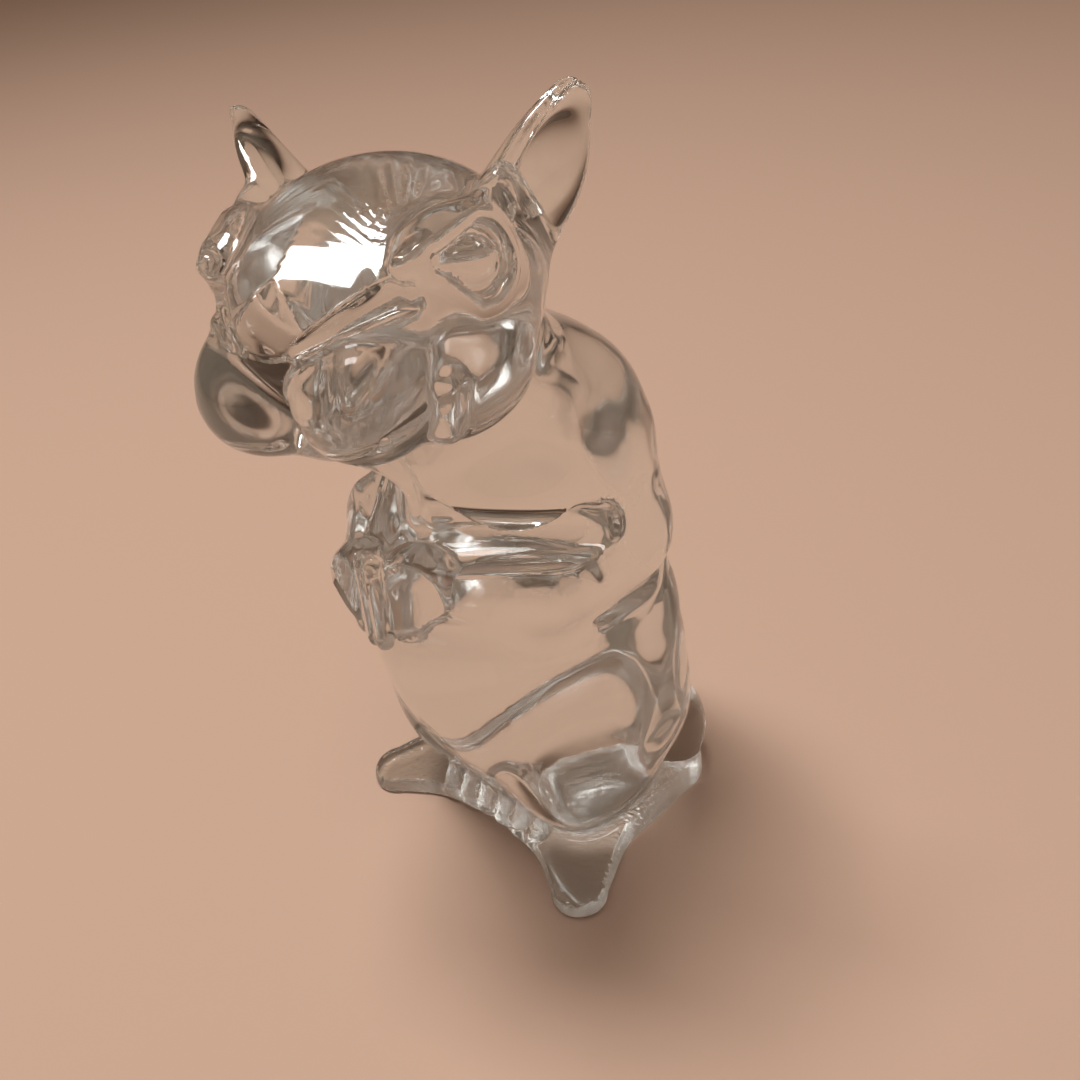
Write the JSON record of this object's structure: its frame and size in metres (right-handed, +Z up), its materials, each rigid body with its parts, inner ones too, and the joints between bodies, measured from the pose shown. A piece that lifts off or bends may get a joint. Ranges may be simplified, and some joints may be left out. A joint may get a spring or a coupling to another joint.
{
  "type": "crystal glass animal figurine",
  "caption": "Solid clear glass figurine of a small upright animal with pricked ears, its paws held together on its chest and its feet splayed as a base.",
  "frame": {"origin": "on the flat ground underside, below the middle of the torso, on the body's middle plane", "axes": "+Z up from the underside to the ears, -Y the way the animal's body faces, +X its left side"},
  "size_m": [0.0492, 0.064, 0.1139],
  "materials": {
    "crystal": "clear, fire-polished"
  },
  "bodies": {
    "root": {"torso": "crystal", "head": "crystal", "eye_left": "crystal", "eye_right": "crystal", "nose": "crystal", "ear_left": "crystal", "ear_right": "crystal", "upper_arm_left": "crystal", "upper_arm_right": "crystal", "forearm_left": "crystal", "forearm_right": "crystal", "paw_left": "crystal", "paw_right": "crystal", "haunch_left": "crystal", "haunch_right": "crystal", "foot_left": "crystal", "foot_right": "crystal"}
  },
  "joints": []
}
